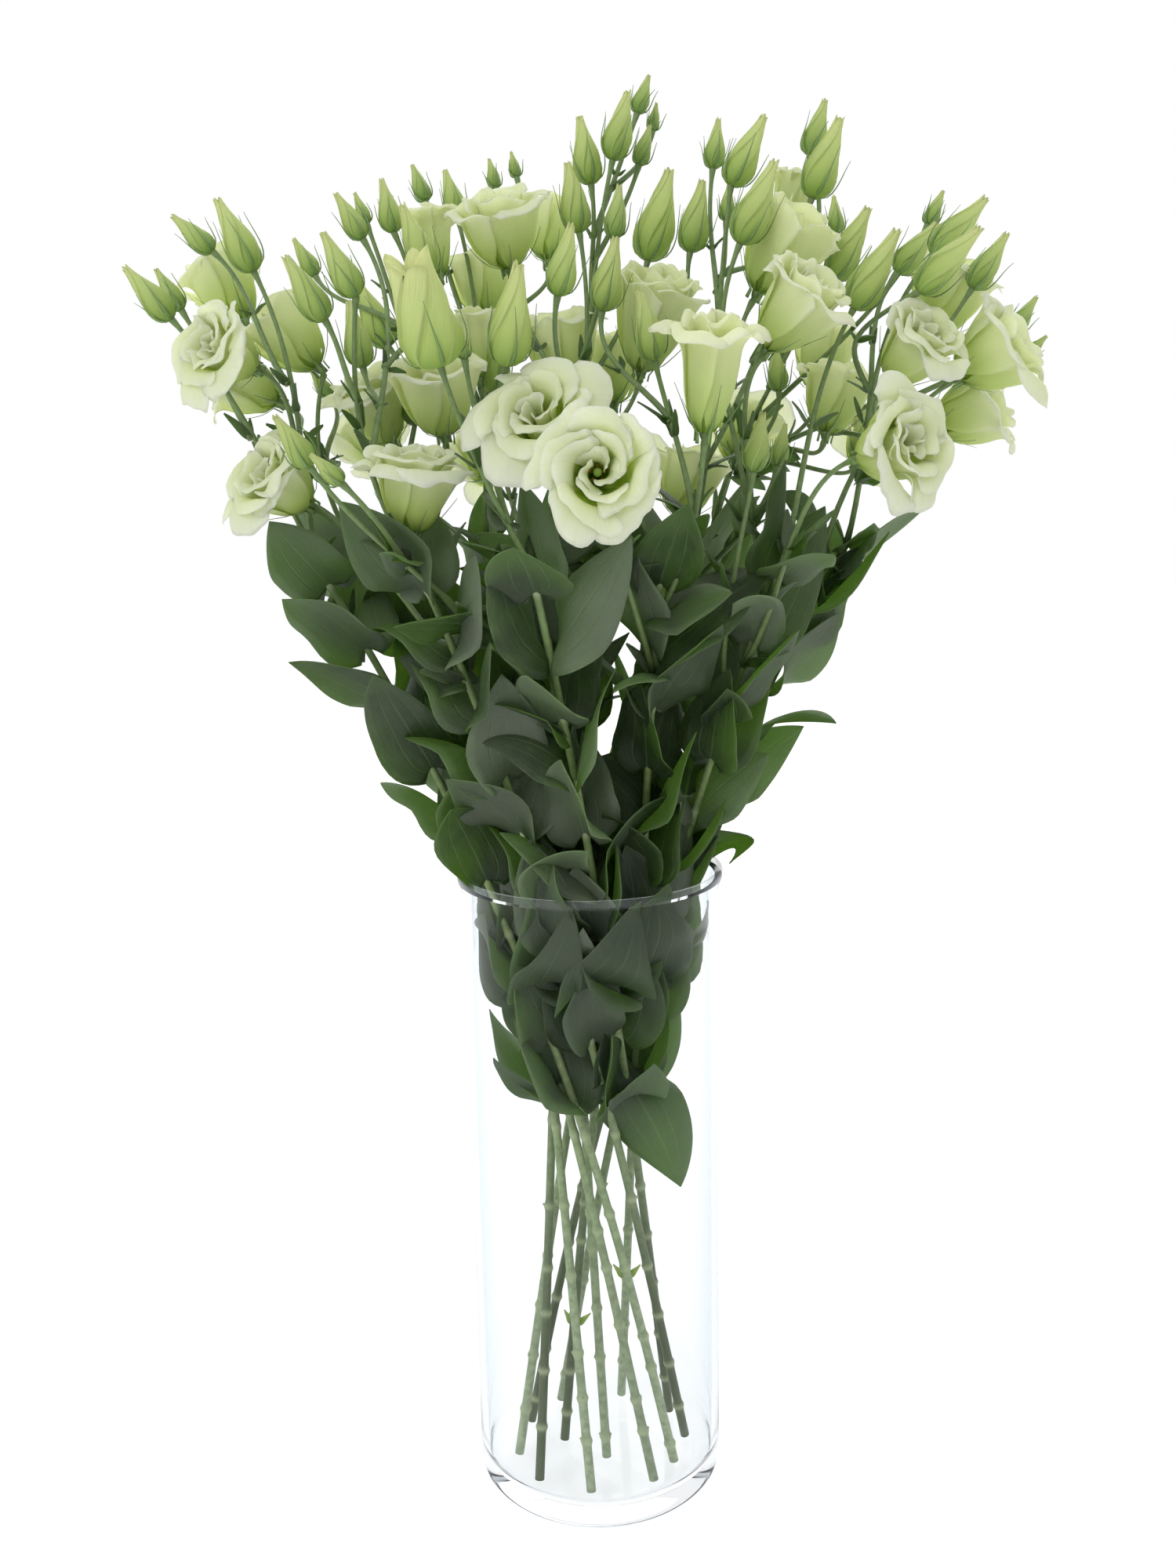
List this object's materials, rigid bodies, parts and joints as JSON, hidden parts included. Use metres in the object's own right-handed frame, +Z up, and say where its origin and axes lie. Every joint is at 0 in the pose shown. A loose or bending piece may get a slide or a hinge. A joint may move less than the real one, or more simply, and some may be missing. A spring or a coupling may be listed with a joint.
{
  "type": "lisianthus bouquet in a glass cylinder vase",
  "caption": "Tall clear glass cylinder vase holding a loose bouquet of cream double lisianthus with twisted buds and grey-green leaves.",
  "frame": {"origin": "middle of the vase's flat underside, where it stands", "axes": "+Z up along the vase, -Y towards the front of the bouquet, +X to the right seen from the front"},
  "size_m": [0.4954, 0.3685, 0.8115],
  "materials": {
    "clear_glass": "clear blown glass, smooth and polished",
    "green_plant": "matt, slightly waxy green stems, leaves and buds",
    "cream_petal": "soft matt petals, cream with a green-yellow base"
  },
  "bodies": {
    "root": {"vase": "clear_glass", "stem_01": "green_plant", "stem_02": "green_plant", "stem_03": "green_plant", "stem_04": "green_plant", "stem_05": "green_plant", "stem_06": "green_plant", "stem_07": "green_plant", "stem_08": "green_plant", "stem_09": "green_plant", "stem_10": "green_plant", "stem_11": "green_plant", "stem_12": "green_plant", "bloom_01": "cream_petal", "bloom_02": "cream_petal", "bloom_03": "cream_petal", "bloom_04": "cream_petal", "bloom_05": "cream_petal", "bloom_06": "cream_petal", "bloom_07": "cream_petal", "bloom_08": "cream_petal", "bloom_09": "cream_petal", "bloom_10": "cream_petal", "bloom_11": "cream_petal", "bloom_12": "cream_petal", "bloom_13": "cream_petal", "bloom_14": "cream_petal", "bloom_15": "cream_petal", "bloom_16": "cream_petal", "bloom_17": "cream_petal", "bloom_18": "cream_petal", "bloom_19": "cream_petal", "bloom_20": "cream_petal", "bloom_21": "cream_petal", "bloom_22": "cream_petal", "bloom_23": "cream_petal", "bloom_24": "cream_petal", "bloom_25": "cream_petal", "bloom_26": "cream_petal", "bloom_27": "cream_petal", "bloom_28": "cream_petal", "bloom_29": "cream_petal", "bloom_30": "cream_petal", "bloom_31": "cream_petal", "bloom_32": "cream_petal", "bloom_33": "cream_petal", "bloom_34": "cream_petal", "bloom_35": "cream_petal"}
  },
  "joints": []
}
